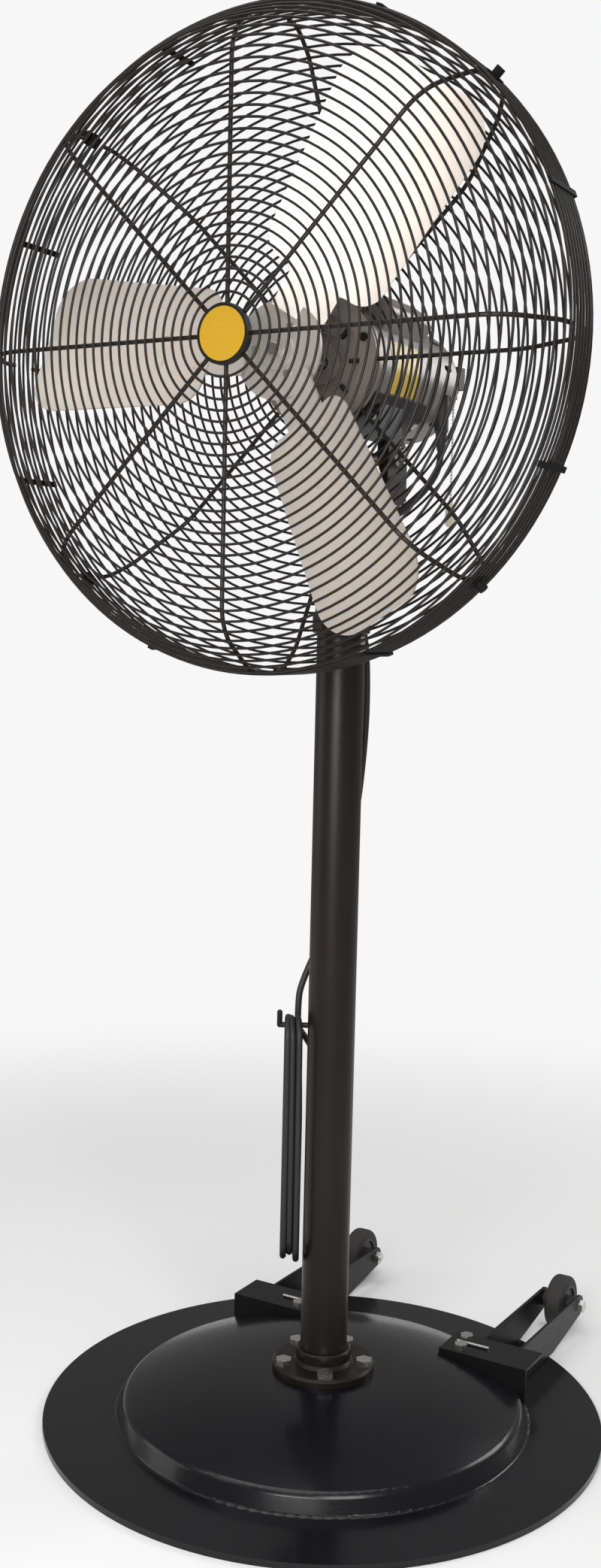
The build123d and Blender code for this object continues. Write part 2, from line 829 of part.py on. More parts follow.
with BuildPart() as cord_gland:
    gland_plane = Plane(origin=(gland_x, gland_y, 0), x_dir=(1, 0, 0), z_dir=(0, -1, 0))
    with BuildSketch(gland_plane):
        with BuildLine():
            Polyline((0, gland_end), (cord_radius + 1, gland_end),
                     (gland_radius - 1.5, axis_height - gland_body_drop - 2),
                     (gland_radius, axis_height - gland_body_drop),
                     (gland_radius, axis_height - 15), (0, axis_height - 15), close=True)
        make_face()
    revolve(axis=Axis((gland_x, gland_y, 0), (0, 0, 1)))
    add(rod((0, gland_y + 30, axis_height), (0, -1, 0), motor_radius + 0.1, 60), mode=Mode.SUBTRACT)
cord_gland.part.label = "cord_gland"
export_step(cord_gland.part, "parts/cord_gland.step")

mount_back = bell_front + 0.02
mount_front = mount_back + mount_thick
rear_spoke_depth = rear_face + ring_wire + spoke_wire + weld_gap
clamp_back = rear_spoke_depth + spoke_wire + 0.02

with BuildPart() as guard_mount_ring:
    with BuildSketch(at_depth(mount_back)):
        Circle(mount_outer)
        Circle(mount_inner, mode=Mode.SUBTRACT)
        with PolarLocations(through_bolt_circle, 4, 45):
            Circle(5.2, mode=Mode.SUBTRACT)
        with PolarLocations(mount_screw_circle, 4, 22.5):
            Circle(mount_screw_radius + 0.05, mode=Mode.SUBTRACT)
        with PolarLocations(44, 8, 0):
            SlotOverall(14, 6, mode=Mode.SUBTRACT)
    extrude(amount=mount_thick)
    with BuildSketch(at_depth(clamp_back)):
        Circle(mount_outer)
        Circle(clamp_inner, mode=Mode.SUBTRACT)
        with PolarLocations(mount_screw_circle, 4, 22.5):
            Circle(mount_screw_radius + 0.05, mode=Mode.SUBTRACT)
    extrude(amount=clamp_thick)
guard_mount_ring.part.label = "guard_mount_ring"
export_step(guard_mount_ring.part, "parts/guard_mount_ring.step")

with BuildLine() as front_profile:
    FilletPolyline(
        (front_inner, front_face),
        (front_corner[0], front_face),
        (guard_radius, front_rim_corner[0]),
        (guard_radius, front_rim_end),
        radius=[front_corner[1], front_rim_corner[1]],
    )

with BuildLine() as rear_profile:
    FilletPolyline(
        (rear_inner, rear_face),
        (rear_corner[0], rear_face),
        (rear_knee[0], rear_knee[1]),
        (guard_radius, rear_rim_corner[0]),
        (guard_radius, rear_rim_end),
        radius=[rear_corner[1], rear_knee[2], rear_rim_corner[1]],
    )


# Ring places along a guard profile, first those from the inside and then the rim rings
def ring_places(profile):
    whole = profile.wires()[0]
    length = whole.length
    stop = length - rim_rings * rim_pitch
    count = int(stop / ring_pitch) + 1
    distances = [index * ring_pitch for index in range(count)]
    distances += [length - index * rim_pitch for index in range(rim_rings)]
    return [whole.position_at(distance / length) for distance in distances]


def guard_rings(places):
    with BuildPart() as piece:
        with BuildSketch(fan_plane):
            with Locations(*[(place.X, place.Y) for place in places]):
                Circle(ring_wire)
        revolve(axis=fan_axis)
    return piece.part


# The corner of a line moved sideways by a distance, to the left when side is 1
def moved_corner(before, corner, after, distance, side):
    first = Vector(corner[0] - before[0], corner[1] - before[1]).normalized()
    second = Vector(after[0] - corner[0], after[1] - corner[1]).normalized()
    left_first = Vector(-first.Y, first.X) * side
    left_second = Vector(-second.Y, second.X) * side
    scale = distance / (1 + left_first.dot(left_second))
    total = left_first + left_second
    return (corner[0] + total.X * scale, corner[1] + total.Y * scale)


def corner_radii(points):
    radii = []
    for before, corner, after in zip(points, points[1:], points[2:]):
        first = Vector(corner) - Vector(before)
        second = Vector(after) - Vector(corner)
        half_turn = math.radians(first.get_angle(second)) / 2
        radii.append(0.45 * min(first.length, second.length) / math.tan(half_turn))
    return radii


# A round wire or cord along a line through the points
def tube(points, radii, wire):
    with BuildPart() as piece:
        with BuildLine() as path:
            FilletPolyline(*points, radius=radii)
        whole = path.wires()[0]
        with BuildSketch(Plane(origin=whole @ 0, z_dir=whole % 0)):
            Circle(wire)
        sweep()
    return piece.part


spoke_shift = ring_wire + spoke_wire + weld_gap
front_bend = moved_corner((front_inner, front_face), (front_corner[0], front_face),
                          (guard_radius, front_rim_corner[0]), spoke_shift, -1)
front_rim_bend = moved_corner((front_corner[0], front_face), (guard_radius, front_rim_corner[0]),
                              (guard_radius, front_rim_end), spoke_shift, -1)
front_spoke_line = [
    (12.0, front_face - spoke_shift),
    front_bend,
    front_rim_bend,
    (guard_radius - spoke_shift, front_spoke_end),
]
front_spoke_radii = [front_corner[1] - spoke_shift, front_rim_corner[1] - spoke_shift]
rear_bend = moved_corner((rear_inner, rear_face), (rear_corner[0], rear_face),
                         rear_knee[:2], spoke_shift, 1)
rear_knee_bend = moved_corner((rear_corner[0], rear_face), rear_knee[:2],
                              (guard_radius, rear_rim_corner[0]), spoke_shift, 1)
rear_rim_bend = moved_corner(rear_knee[:2], (guard_radius, rear_rim_corner[0]),
                             (guard_radius, rear_rim_end), spoke_shift, 1)
rear_spoke_line = [
    (mount_inner + 6, rear_spoke_depth),
    rear_bend,
    rear_knee_bend,
    rear_rim_bend,
    (guard_radius - spoke_shift, rear_spoke_end),
]
rear_spoke_radii = [
    rear_corner[1] - spoke_shift,
    rear_knee[2] - spoke_shift,
    rear_rim_corner[1] - spoke_shift,
]


def spoke(line, radii, angle):
    points = [fan_point(angle, place[0], place[1]) for place in line]
    return tube(points, radii, spoke_wire)


front_places = ring_places(front_profile)
rear_places = ring_places(rear_profile)

with BuildPart() as front_guard:
    add(guard_rings([place for place in front_places if place.Y > front_face - 0.01]))
front_guard.part.label = "front_guard"
export_step(front_guard.part, "parts/front_guard.step")

with BuildPart() as front_guard_rim:
    add(guard_rings([place for place in front_places if place.Y <= front_face - 0.01]))
    for index in range(spoke_count):
        add(spoke(front_spoke_line, front_spoke_radii, 360 / spoke_count * index))
front_guard_rim.part.label = "front_guard_rim"
export_step(front_guard_rim.part, "parts/front_guard_rim.step")

with BuildPart() as rear_guard:
    add(guard_rings([place for place in rear_places if place.Y < rear_face + 0.01]))
rear_guard.part.label = "rear_guard"
export_step(rear_guard.part, "parts/rear_guard.step")

with BuildPart() as rear_guard_rim:
    add(guard_rings([place for place in rear_places if place.Y >= rear_face + 0.01]))
    for index in range(spoke_count):
        add(spoke(rear_spoke_line, rear_spoke_radii, 360 / spoke_count * index))
rear_guard_rim.part.label = "rear_guard_rim"
export_step(rear_guard_rim.part, "parts/rear_guard_rim.step")

clip_inner = guard_radius + ring_wire + 0.05
clip_outer = clip_inner + clip_thick
rim_front = front_rim_end + (rim_rings - 1) * rim_pitch + ring_wire
rim_back = rear_rim_end - (rim_rings - 1) * rim_pitch - ring_wire


# A block given by its angle, radius range, depth range and width about the fan axis
def rim_block(angle, inner, outer, back, front, width):
    with BuildPart() as piece:
        start = fan_point(angle, inner, (back + front) / 2)
        with BuildSketch(Plane(origin=start, x_dir=(0, -1, 0), z_dir=fan_outward(angle))):
            Rectangle(front - back, width)
        extrude(amount=outer - inner)
    return piece.part


with BuildPart() as guard_clips:
    for index in range(8):
        angle = 22.5 + 45 * index
        add(rim_block(angle, clip_inner, clip_outer, rim_back - 2.4, rim_front + 2.4, clip_width))
        add(rim_block(angle, guard_radius - 1, clip_outer, rim_front + 0.4, rim_front + 2.4, clip_width))
        add(rim_block(angle, guard_radius - 1, clip_outer, rim_back - 2.4, rim_back - 0.4, clip_width))
    for index in range(4):
        angle = 45 + 90 * index
        middle = (front_rim_end + rear_rim_end) / 2
        add(rim_block(angle, clip_inner, clip_outer, middle - 9, middle + 9, 16))
        add(rim_block(angle, guard_radius - ring_wire - 3.1, guard_radius - ring_wire - 0.1,
                      middle - 7, middle + 7, 14))
        add(rod(fan_point(angle, guard_radius - 10, middle), fan_outward(angle), 2.05, 20),
            mode=Mode.SUBTRACT)
guard_clips.part.label = "guard_clips"
export_step(guard_clips.part, "parts/guard_clips.step")

with BuildPart() as guard_screws:
    for index in range(4):
        angle = 45 + 90 * index
        middle = (front_rim_end + rear_rim_end) / 2
        outwards = fan_outward(angle)
        add(rod(fan_point(angle, guard_radius - ring_wire - 4, middle), outwards, 2, 9))
        add(rod(fan_point(angle, clip_outer + 0.02, middle), outwards, knob_radius, knob_height))
        angle = 22.5 + 90 * index
        head_seat = clamp_back + clamp_thick + 0.02
        add(rod(fan_point(angle, mount_screw_circle, head_seat), (0, 1, 0), mount_screw_radius,
                head_seat - bell_front + 6))
        add(rod(fan_point(angle, mount_screw_circle, head_seat), (0, -1, 0), 5, 3))
guard_screws.part.label = "guard_screws"
export_step(guard_screws.part, "parts/guard_screws.step")

badge_back = front_face - spoke_shift + spoke_wire + 0.02
badge_front = badge_back + badge_depth
badge_clamp = front_face - spoke_shift - spoke_wire - 0.02

with BuildPart() as badge_ring:
    add(turned_about_fan([
        (3.1, badge_back),
        (badge_radius, badge_back),
        (badge_radius, badge_front - 1.5),
        (badge_radius - 1.5, badge_front),
        (badge_disc_radius + 0.1, badge_front),
        (badge_disc_radius + 0.1, badge_front - 1.5),
        (3.1, badge_front - 1.5),
    ]))
    add(turned_about_fan([
        (3.1, badge_clamp - 3),
        (badge_radius - 4, badge_clamp - 3),
        (badge_radius - 4, badge_clamp),
        (3.1, badge_clamp),
    ]))
    add(turned_about_fan([
        (0, badge_clamp - 6.5),
        (5, badge_clamp - 6.5),
        (5, badge_clamp - 3.02),
        (3, badge_clamp - 3.02),
        (3, badge_front - 2),
        (0, badge_front - 2),
    ]))
badge_ring.part.label = "badge_ring"
export_step(badge_ring.part, "parts/badge_ring.step")

with BuildPart() as badge_disc:
    add(turned_about_fan([
        (0, badge_front - 1.48),
        (badge_disc_radius, badge_front - 1.48),
        (badge_disc_radius, badge_front - 0.4),
        (0, badge_front - 0.4),
    ]))
badge_disc.part.label = "badge_disc"
export_step(badge_disc.part, "parts/badge_disc.step")

hub_bolt_circle = (hub_radius + hub_flange_radius) / 2
disc_back = hub_flange_back + hub_flange_thick + 0.02
disc_front = disc_back + spider_thick + 0.5

with BuildPart() as fan_hub:
    add(turned_about_fan([
        (shaft_radius + 0.03, hub_back),
        (hub_radius - 1, hub_back),
        (hub_radius, hub_back + 1),
        (hub_radius, hub_flange_back),
        (hub_flange_radius, hub_flange_back),
        (hub_flange_radius, hub_flange_back + hub_flange_thick),
        (hub_radius, hub_flange_back + hub_flange_thick),
        (hub_radius, hub_front - 1),
        (hub_radius - 1, hub_front),
        (shaft_radius + 0.03, hub_front),
    ]))
    with BuildSketch(at_depth(hub_flange_back - 1)):
        with PolarLocations(hub_bolt_circle, 3, blade_angles[0]):
            Circle(2.6)
    extrude(amount=hub_flange_thick + 2, mode=Mode.SUBTRACT)
    add(rod((0, -hub_back - 10, axis_height), (1, 0, 0), 3.05, hub_radius + 5), mode=Mode.SUBTRACT)
fan_hub.part.label = "fan_hub"
export_step(fan_hub.part, "parts/fan_hub.step")

with BuildPart() as hub_screws:
    for angle in blade_angles:
        add(bolt(fan_point(angle, hub_bolt_circle, disc_front + 0.02), (0, 1, 0), 2.5,
                 disc_front - hub_flange_back + 8, 8, 3.5))
        add(hex_bar(fan_point(angle, hub_bolt_circle, hub_flange_back - 0.02), (0, 1, 0), 8, 4))
    add(rod((shaft_radius + 0.05, -hub_back - 10, axis_height), (1, 0, 0), 3, hub_radius - shaft_radius - 1))
hub_screws.part.label = "hub_screws"
export_step(hub_screws.part, "parts/hub_screws.step")


# The plane of a blade: first direction outwards, second along the chord, third forwards
def blade_plane(angle):
    turn = math.radians(angle)
    pitch = math.radians(blade_pitch)
    outwards = Vector(math.cos(turn), 0, math.sin(turn))
    around = Vector(-math.sin(turn), 0, math.cos(turn))
    forwards = Vector(0, -1, 0)
    normal = forwards * math.cos(pitch) - around * math.sin(pitch)
    return Plane(origin=(0, -blade_depth, axis_height), x_dir=outwards, z_dir=normal)


# Keeps the slice of a block between two radii about the camber line in front of the blade
def camber_slice(plane, outer, inner):
    return Plane(origin=plane.origin, x_dir=plane.y_dir, z_dir=plane.x_dir)


def rivet_plane(angle, place):
    plane = blade_plane(angle)
    lean = math.asin(place[1] / blade_camber)
    sag = blade_camber - math.sqrt(blade_camber ** 2 - place[1] ** 2)
    origin = plane.from_local_coords(Vector(place[0], place[1], sag))
    normal = plane.z_dir * math.cos(lean) - plane.y_dir * math.sin(lean)
    return Plane(origin=origin, x_dir=plane.x_dir, z_dir=normal)


# A curved strip cut from an outline in the blade plane, between two radii of camber
def curved_plate(angle, outline, blends, outer, inner):
    plane = blade_plane(angle)
    with BuildPart() as piece:
        with BuildSketch(plane) as face:
            with BuildLine():
                Polyline(*outline, close=True)
            make_face()
            for place, size in blends:
                fillet(face.vertices().sort_by_distance(place)[0], radius=size)
        extrude(amount=40, both=True)
        with BuildSketch(camber_slice(plane, outer, inner)):
            with Locations((0, blade_camber)):
                Circle(outer)
                Circle(inner, mode=Mode.SUBTRACT)
        extrude(amount=blade_tip + 60, mode=Mode.INTERSECT)
        for place in rivet_places:
            hole = rivet_plane(angle, place)
            with BuildSketch(hole.offset(-8)):
                Circle(rivet_radius + 0.05)
            extrude(amount=16, mode=Mode.SUBTRACT)
    return piece.part


blade_outline = [
    (blade_root, -blade_root_half),
    (blade_tip, -blade_tip_half),
    (blade_tip, blade_tip_half),
    (blade_root, blade_root_half),
]
blade_blends = [
    (blade_outline[0], blade_root_blend),
    (blade_outline[1], blade_tip_blend),
    (blade_outline[2], blade_tip_blend),
    (blade_outline[3], blade_root_blend),
]
arm_half = spider_arm_width / 2
arm_outline = [
    (spider_arm_start, -arm_half),
    (spider_arm_end, -arm_half),
    (spider_arm_end, arm_half),
    (spider_arm_start, arm_half),
]
arm_blends = [(arm_outline[1], 14), (arm_outline[2], 14)]


def blade(angle):
    return curved_plate(angle, blade_outline, blade_blends, blade_camber, blade_camber - blade_thick)


with BuildPart() as fan_spider:
    with BuildSketch(at_depth(disc_back)):
        Circle(spider_disc_radius)
    extrude(amount=disc_front - disc_back)
    for angle in blade_angles:
        add(curved_plate(angle, arm_outline, arm_blends, blade_camber + 0.02 + spider_thick,
                         blade_camber + 0.02))
    add(rod((0, -hub_flange_back, axis_height), (0, -1, 0), hub_radius + 0.05, 30), mode=Mode.SUBTRACT)
    with BuildSketch(at_depth(disc_back - 1)):
        with PolarLocations(hub_bolt_circle, 3, blade_angles[0]):
            Circle(2.6)
    extrude(amount=10, mode=Mode.SUBTRACT)
fan_spider.part.label = "fan_spider"
export_step(fan_spider.part, "parts/fan_spider.step")

with BuildPart() as blade_1:
    add(blade(blade_angles[0]))
blade_1.part.label = "blade_1"
export_step(blade_1.part, "parts/blade_1.step")

with BuildPart() as blade_2:
    add(blade(blade_angles[1]))
blade_2.part.label = "blade_2"
export_step(blade_2.part, "parts/blade_2.step")

with BuildPart() as blade_3:
    add(blade(blade_angles[2]))
blade_3.part.label = "blade_3"
export_step(blade_3.part, "parts/blade_3.step")

with BuildPart() as blade_rivets:
    for angle in blade_angles:
        for place in rivet_places:
            seat = rivet_plane(angle, place)
            back = -spider_thick - 0.06
            front = blade_thick + 0.04
            with BuildSketch(seat.offset(back - rivet_head)):
                Circle(rivet_radius)
            extrude(amount=front - back + 2 * rivet_head)
            with BuildSketch(seat.offset(front)):
                Circle(rivet_head_radius)
            extrude(amount=rivet_head)
            with BuildSketch(seat.offset(back)):
                Circle(rivet_head_radius)
            extrude(amount=-rivet_head)
blade_rivets.part.label = "blade_rivets"
export_step(blade_rivets.part, "parts/blade_rivets.step")


# One wheel bracket; side is 1 for the right and -1 for the left
def wheel_bracket(side):
    middle_x = side * (bracket_x[0] + bracket_x[1]) / 2
    width = bracket_x[1] - bracket_x[0]
    with BuildPart() as piece:
        with BuildSketch(Plane.XY.offset(brim_height)):
            with Locations((middle_x, bracket_y[0] + bracket_plate / 2)):
                Rectangle(width, bracket_plate)
        extrude(amount=bracket_top - brim_height)
        with BuildSketch(Plane.XY.offset(bracket_top - bracket_plate)):
            with Locations((middle_x, (bracket_y[0] + bracket_y[1]) / 2)):
                Rectangle(width, bracket_y[1] - bracket_y[0])
        extrude(amount=bracket_plate)
        for offset in (-fork_half_gap - fork_plate / 2, fork_half_gap + fork_plate / 2):
            arm_x = side * wheel_x + offset - fork_plate / 2
            with BuildSketch(Plane(origin=(arm_x, 0, 0), x_dir=(0, 1, 0), z_dir=(1, 0, 0))):
                with BuildLine():
                    Polyline(
                        (bracket_y[0] + 1, brim_height + 1),
                        (dome_foot_radius + 50, brim_height + 1),
                        (wheel_y, wheel_z - arm_end_radius),
                        (wheel_y, wheel_z + arm_end_radius),
                        (bracket_y[1] + 30, bracket_top - 1),
                        (bracket_y[0] + 1, bracket_top - 1),
                        close=True,
                    )
                make_face()
                with Locations((wheel_y, wheel_z)):
                    Circle(arm_end_radius)
            extrude(amount=fork_plate)
        for place in foot_bolts:
            with BuildSketch(Plane.XY.offset(brim_height)):
                with Locations((side * place[0], place[1])):
                    Rectangle(2 * foot_half, 2 * foot_half)
            extrude(amount=bracket_top - brim_height)
        add(dome_solid(0.03), mode=Mode.SUBTRACT)
        with BuildSketch(Plane.XY.offset(bracket_top + 1)):
            with Locations(*[(side * place[0], place[1]) for place in foot_bolts]):
                Circle(axle_radius + 0.3)
        extrude(amount=-bracket_top, mode=Mode.SUBTRACT)
        add(rod((side * wheel_x - 60, wheel_y, wheel_z), (1, 0, 0), axle_radius + 0.1, 120),
            mode=Mode.SUBTRACT)
    return piece.part


with BuildPart() as wheel_bracket_l:
    add(wheel_bracket(-1))
wheel_bracket_l.part.label = "wheel_bracket_l"
export_step(wheel_bracket_l.part, "parts/wheel_bracket_l.step")

with BuildPart() as wheel_bracket_r:
    add(wheel_bracket(1))
wheel_bracket_r.part.label = "wheel_bracket_r"
export_step(wheel_bracket_r.part, "parts/wheel_bracket_r.step")


def tyre(side):
    middle = side * wheel_x
    half = tyre_width / 2
    return turned_about_axle([
        (wheel_hub_radius + 0.02, middle - half),
        (wheel_radius, middle - half),
        (wheel_radius, middle + half),
        (wheel_hub_radius + 0.02, middle + half),
    ], (((wheel_radius, middle - half), 7), ((wheel_radius, middle + half), 7)))


def wheel_hub(side):
    middle = side * wheel_x
    half = tyre_width / 2
    end = fork_half_gap - hub_end_play
    bore = axle_radius + 0.06
    return turned_about_axle([
        (bore, middle - end),
        (bore + 6, middle - end),
        (bore + 6, middle - half + 3),
        (wheel_hub_radius - 3, middle - half + 3),
        (wheel_hub_radius - 3, middle - half),
        (wheel_hub_radius, middle - half),
        (wheel_hub_radius, middle + half),
        (wheel_hub_radius - 3, middle + half),
        (wheel_hub_radius - 3, middle + half - 3),
        (bore + 6, middle + half - 3),
        (bore + 6, middle + end),
        (bore, middle + end),
    ])


with BuildPart() as wheel_tyre_l:
    add(tyre(-1))
wheel_tyre_l.part.label = "wheel_tyre_l"
export_step(wheel_tyre_l.part, "parts/wheel_tyre_l.step")

with BuildPart() as wheel_tyre_r:
    add(tyre(1))
wheel_tyre_r.part.label = "wheel_tyre_r"
export_step(wheel_tyre_r.part, "parts/wheel_tyre_r.step")

with BuildPart() as wheel_hub_l:
    add(wheel_hub(-1))
wheel_hub_l.part.label = "wheel_hub_l"
export_step(wheel_hub_l.part, "parts/wheel_hub_l.step")

with BuildPart() as wheel_hub_r:
    add(wheel_hub(1))
wheel_hub_r.part.label = "wheel_hub_r"
export_step(wheel_hub_r.part, "parts/wheel_hub_r.step")

with BuildPart() as wheel_axles:
    fork_outer = fork_half_gap + fork_plate
    for side in (1, -1):
        add(bolt((side * (wheel_x + fork_outer), wheel_y, wheel_z), (-side, 0, 0), axle_radius,
                 2 * fork_outer + axle_head + 2, axle_flats, axle_head))
        add(hex_bar((side * (wheel_x - fork_outer), wheel_y, wheel_z), (-side, 0, 0), axle_flats,
                    axle_head))
wheel_axles.part.label = "wheel_axles"
export_step(wheel_axles.part, "parts/wheel_axles.step")

with BuildPart() as bracket_bolts:
    for place in both_sides(foot_bolts):
        add(bolt((place[0], place[1], bracket_top), (0, 0, -1), axle_radius, bracket_top - boss_bottom + 10,
                 axle_flats, axle_head))
        add(hex_bar((place[0], place[1], boss_bottom), (0, 0, -1), axle_flats, axle_head))
    for side in (1, -1):
        bar_start = (side * (bracket_x[0] + 14), bracket_y[0] + 29, bracket_top + trim_bar_radius)
        add(rod(bar_start, (side, 0, 0), trim_bar_radius, trim_bar_length))
bracket_bolts.part.label = "bracket_bolts"
export_step(bracket_bolts.part, "parts/bracket_bolts.step")

hook_direction = (-math.cos(math.radians(30)), -math.sin(math.radians(30)), 0)


def along_hook(reach, height):
    return (hook_direction[0] * reach, hook_direction[1] * reach, height)


with BuildPart() as cord_hook:
    add(rod(along_hook(column_radius - 2, hook_height), hook_direction, hook_radius,
            hook_reach - column_radius + 2))
    add(rod(along_hook(hook_reach, hook_height), (0, 0, 1), hook_radius, 16))
    with Locations(along_hook(hook_reach, hook_height), along_hook(hook_reach, hook_height + 16)):
        Sphere(hook_radius)
    add(rod((0, 0, hook_height - 20), (0, 0, 1), column_radius, 40), mode=Mode.SUBTRACT)
cord_hook.part.label = "cord_hook"
export_step(cord_hook.part, "parts/cord_hook.step")

with BuildPart() as cord_clip:
    clip_band = 1.5
    with BuildSketch(Plane.XY.offset(clip_bottom)):
        Circle(stem_radius + 0.05 + clip_band)
        with Locations((0, clip_y)):
            Circle(cord_radius + 0.3 + clip_band)
        Circle(stem_radius + 0.05, mode=Mode.SUBTRACT)
        with Locations((0, clip_y)):
            Circle(cord_radius + 0.3, mode=Mode.SUBTRACT)
    extrude(amount=clip_height)
cord_clip.part.label = "cord_clip"
export_step(cord_clip.part, "parts/cord_clip.step")

clip_middle = clip_bottom + clip_height / 2
upper_run = math.hypot(gland_x, gland_y - clip_y)
upper_places = (
    (0.0, gland_end),
    (0.0, gland_end - 16),
    (9.0, gland_end - 36),
    (30.0, gland_end - 60),
    (62.0, gland_end - 84),
    (94.0, gland_end - 107),
    (114.0, gland_end - 126),
    (123.0, gland_end - 143),
    (upper_run, gland_end - 159),
    (upper_run, clip_middle),
)
upper_points = [
    (gland_x - gland_x * place[0] / upper_run, gland_y - (gland_y - clip_y) * place[0] / upper_run, place[1])
    for place in upper_places
]
lower_points = [
    (0, clip_y, clip_middle),
    (0, clip_y, clip_middle - 12),
    (2, 37, clip_middle - 27),
    (5, 44, clip_middle - 46),
    (9, 47.5, clip_middle - 72),
    (13, 48, clip_middle - 116),
    (13.5, 47, clip_middle - 191),
    (4, 46, clip_middle - 296),
    (-17, 42, clip_middle - 386),
    (-36, 27, clip_middle - 464),
    (-47, 9, hank_top + 43),
    (-51.5, 0, hank_top + 14),
    (-52.7, -2.6, hank_top - 20),
]
tail_points = [
    (-54.2, -0.1, hank_top - 27),
    (-60.5, 10.6, hank_top - 28.5),
    (-63, 24, hank_top - 34),
    (-59, 38, hank_top - 46),
    (-50, 48, hank_top - 65),
    (-40, 52.5, hank_top - 87),
    (-33, 54, hank_top - 112),
    (-30.5, 54.5, hank_top - 132),
]

with BuildPart() as cord_upper:
    add(tube(upper_points, corner_radii(upper_points), cord_radius))
cord_upper.part.label = "cord_upper"
export_step(cord_upper.part, "parts/cord_upper.step")

with BuildPart() as cord_lower:
    add(tube(lower_points, corner_radii(lower_points), cord_radius))
cord_lower.part.label = "cord_lower"
export_step(cord_lower.part, "parts/cord_lower.step")

hank_plane = Plane(
    origin=along_hook(hank_reach - hank_depth / 2, hank_top - hank_length / 2),
    x_dir=(0, 0, 1),
    z_dir=hook_direction,
)

with BuildPart() as cord_hank:
    with BuildSketch(hank_plane):
        SlotOverall(hank_length, hank_width)
        SlotOverall(hank_length - 2 * hank_strand, hank_width - 2 * hank_strand, mode=Mode.SUBTRACT)
    extrude(amount=hank_depth)
cord_hank.part.label = "cord_hank"
export_step(cord_hank.part, "parts/cord_hank.step")

with BuildPart() as cord_tail:
    add(tube(tail_points, corner_radii(tail_points), cord_radius))
cord_tail.part.label = "cord_tail"
export_step(cord_tail.part, "parts/cord_tail.step")

plug_start = Vector(tail_points[-1])
plug_direction = (Vector(tail_points[-1]) - Vector(tail_points[-2])).normalized()

with BuildPart() as plug:
    with BuildSketch(Plane(origin=plug_start, z_dir=plug_direction)):
        Circle(plug_radius * 0.5)
    extrude(amount=plug_length * 0.35)
    with BuildSketch(Plane(origin=plug_start + plug_direction * plug_length * 0.3, z_dir=plug_direction)):
        Circle(plug_radius)
    extrude(amount=plug_length * 0.7)
    prong_plane = Plane(origin=plug_start + plug_direction * plug_length, z_dir=plug_direction)
    with BuildSketch(prong_plane):
        with Locations((-5.5, 3), (5.5, 3)):
            Rectangle(1.6, 6.4)
        with Locations((0, -6)):
            Circle(2.4)
    extrude(amount=18)
plug.part.label = "plug"
export_step(plug.part, "parts/plug.step")

for name, points, piece in (
    ("upper", upper_points, cord_upper),
    ("lower", lower_points, cord_lower),
    ("tail", tail_points, cord_tail),
):
    radii = corner_radii(points)
    with BuildLine() as route:
        FilletPolyline(*points, radius=radii)
    section = math.pi * cord_radius ** 2
    expected = section * route.wires()[0].length
    runs = [round((Vector(b) - Vector(a)).length, 1) for a, b in zip(points, points[1:])]
    print("cord", name, "radii", [round(value, 1) for value in radii], "runs", runs)
    print("cord", name, "length", round(route.wires()[0].length, 1), "volume ratio",
          round(piece.part.volume / expected, 4))
print("front rings", len(front_places), "rear rings", len(rear_places))
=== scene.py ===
import math

import bpy
from mathutils import Matrix, Vector


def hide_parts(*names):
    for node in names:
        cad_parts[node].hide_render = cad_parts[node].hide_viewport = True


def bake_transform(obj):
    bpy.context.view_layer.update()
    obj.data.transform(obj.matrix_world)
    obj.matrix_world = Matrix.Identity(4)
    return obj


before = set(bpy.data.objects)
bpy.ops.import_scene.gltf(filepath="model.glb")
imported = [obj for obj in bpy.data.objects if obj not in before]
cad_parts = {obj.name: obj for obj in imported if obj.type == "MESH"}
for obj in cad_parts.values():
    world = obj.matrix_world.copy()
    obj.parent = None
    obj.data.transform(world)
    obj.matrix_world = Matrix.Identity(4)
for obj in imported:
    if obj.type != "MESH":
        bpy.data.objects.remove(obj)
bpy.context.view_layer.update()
bpy.ops.object.select_all(action="DESELECT")
print("frame loaded")

# camera: the view that the fan was measured in
cameraSettings = {
    "place": (0.9858, -1.7967, 1.0245),
    "turn": 30.05,
    "tilt": 5.62,
    "roll": 1.31,
    "lens": 37.68,
    "sensor": 36.0,
    "farClip": 60.0,
}


def addCamera(s):
    turn, tilt, roll = (math.radians(s[k]) for k in ("turn", "tilt", "roll"))
    back = Vector((math.sin(turn) * math.cos(tilt), -math.cos(turn) * math.cos(tilt), math.sin(tilt)))
    right = Vector((math.cos(turn), math.sin(turn), 0))
    up = back.cross(right)
    side = right * math.cos(roll) + up * math.sin(roll)
    top = up * math.cos(roll) - right * math.sin(roll)
    bpy.ops.object.camera_add(location=s["place"])
    camera = bpy.context.object
    camera.name = "photoCamera"
    place = Matrix((side, top, back)).transposed().to_4x4()
    place.translation = s["place"]
    camera.matrix_world = place
    camera.data.sensor_fit = "VERTICAL"
    camera.data.sensor_height = s["sensor"]
    camera.data.lens = s["lens"]
    camera.data.clip_end = s["farClip"]
    bpy.context.scene.camera = camera


addCamera(cameraSettings)
print("camera placed")

# shared shading group: broad patches and fine grain from the object's own coordinates
grainSettings = {"broadDetail": 4.0, "fineDetail": 8.0, "broadScale": 3.0, "fineScale": 300.0}


